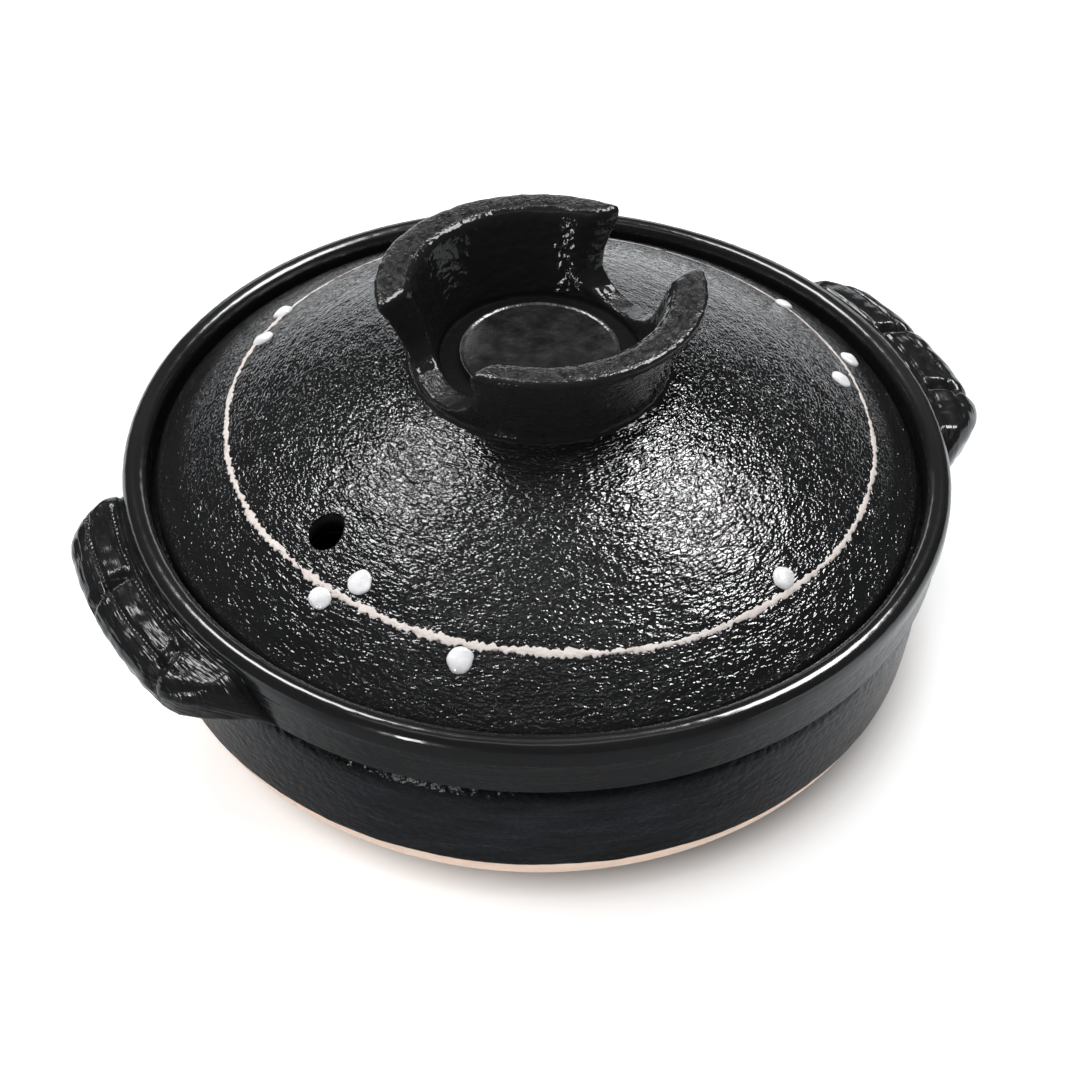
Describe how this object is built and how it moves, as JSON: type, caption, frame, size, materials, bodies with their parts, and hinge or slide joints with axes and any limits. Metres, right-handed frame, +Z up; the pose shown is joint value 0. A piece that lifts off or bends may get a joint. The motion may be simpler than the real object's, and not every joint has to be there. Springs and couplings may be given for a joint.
{
  "type": "donabe clay pot",
  "caption": "Round glazed stoneware pot with carved side lugs and a domed lift-off lid that has a slotted ring knob, a steam hole and a painted ring with raised dots.",
  "frame": {"origin": "centre of the flat foot, on the surface that the pot stands on", "axes": "+Z up along the pot's axis; +X towards the right-hand lug; -Y towards the cook"},
  "size_m": [0.289, 0.254, 0.132],
  "materials": {
    "bare_clay": "unglazed buff stoneware, fine and matt",
    "black_glaze": "glossy black glaze, lightly brushed below the ledge",
    "lug_glaze": "glossy black glaze over carved grain",
    "lid_glaze": "glossy black glaze over a sandy, turned body, pebbled like orange peel",
    "knob_glaze": "glossy black glaze, thin and grey on the cut edges",
    "white_slip": "matt white slip, trailed, ragged at its edges",
    "white_enamel": "glossy white enamel, raised"
  },
  "bodies": {
    "bowl": {"bowl_clay": "bare_clay", "bowl_glaze_outside": "black_glaze", "bowl_glaze_inside": "black_glaze", "lug_left": "lug_glaze", "lug_right": "lug_glaze"},
    "lid": {"lid_clay": "bare_clay", "lid_glaze_top": "lid_glaze", "lid_glaze_underside": "lid_glaze", "knob_ring": "knob_glaze", "knob_boss": "knob_glaze", "lid_painted_line": "white_slip", "lid_enamel_dots": "white_enamel"}
  },
  "joints": [
    {"name": "lid_lift", "type": "slide", "parent": "bowl", "child": "lid", "axis": [0, 0, 1], "range_m": [0, 0.12]}
  ]
}
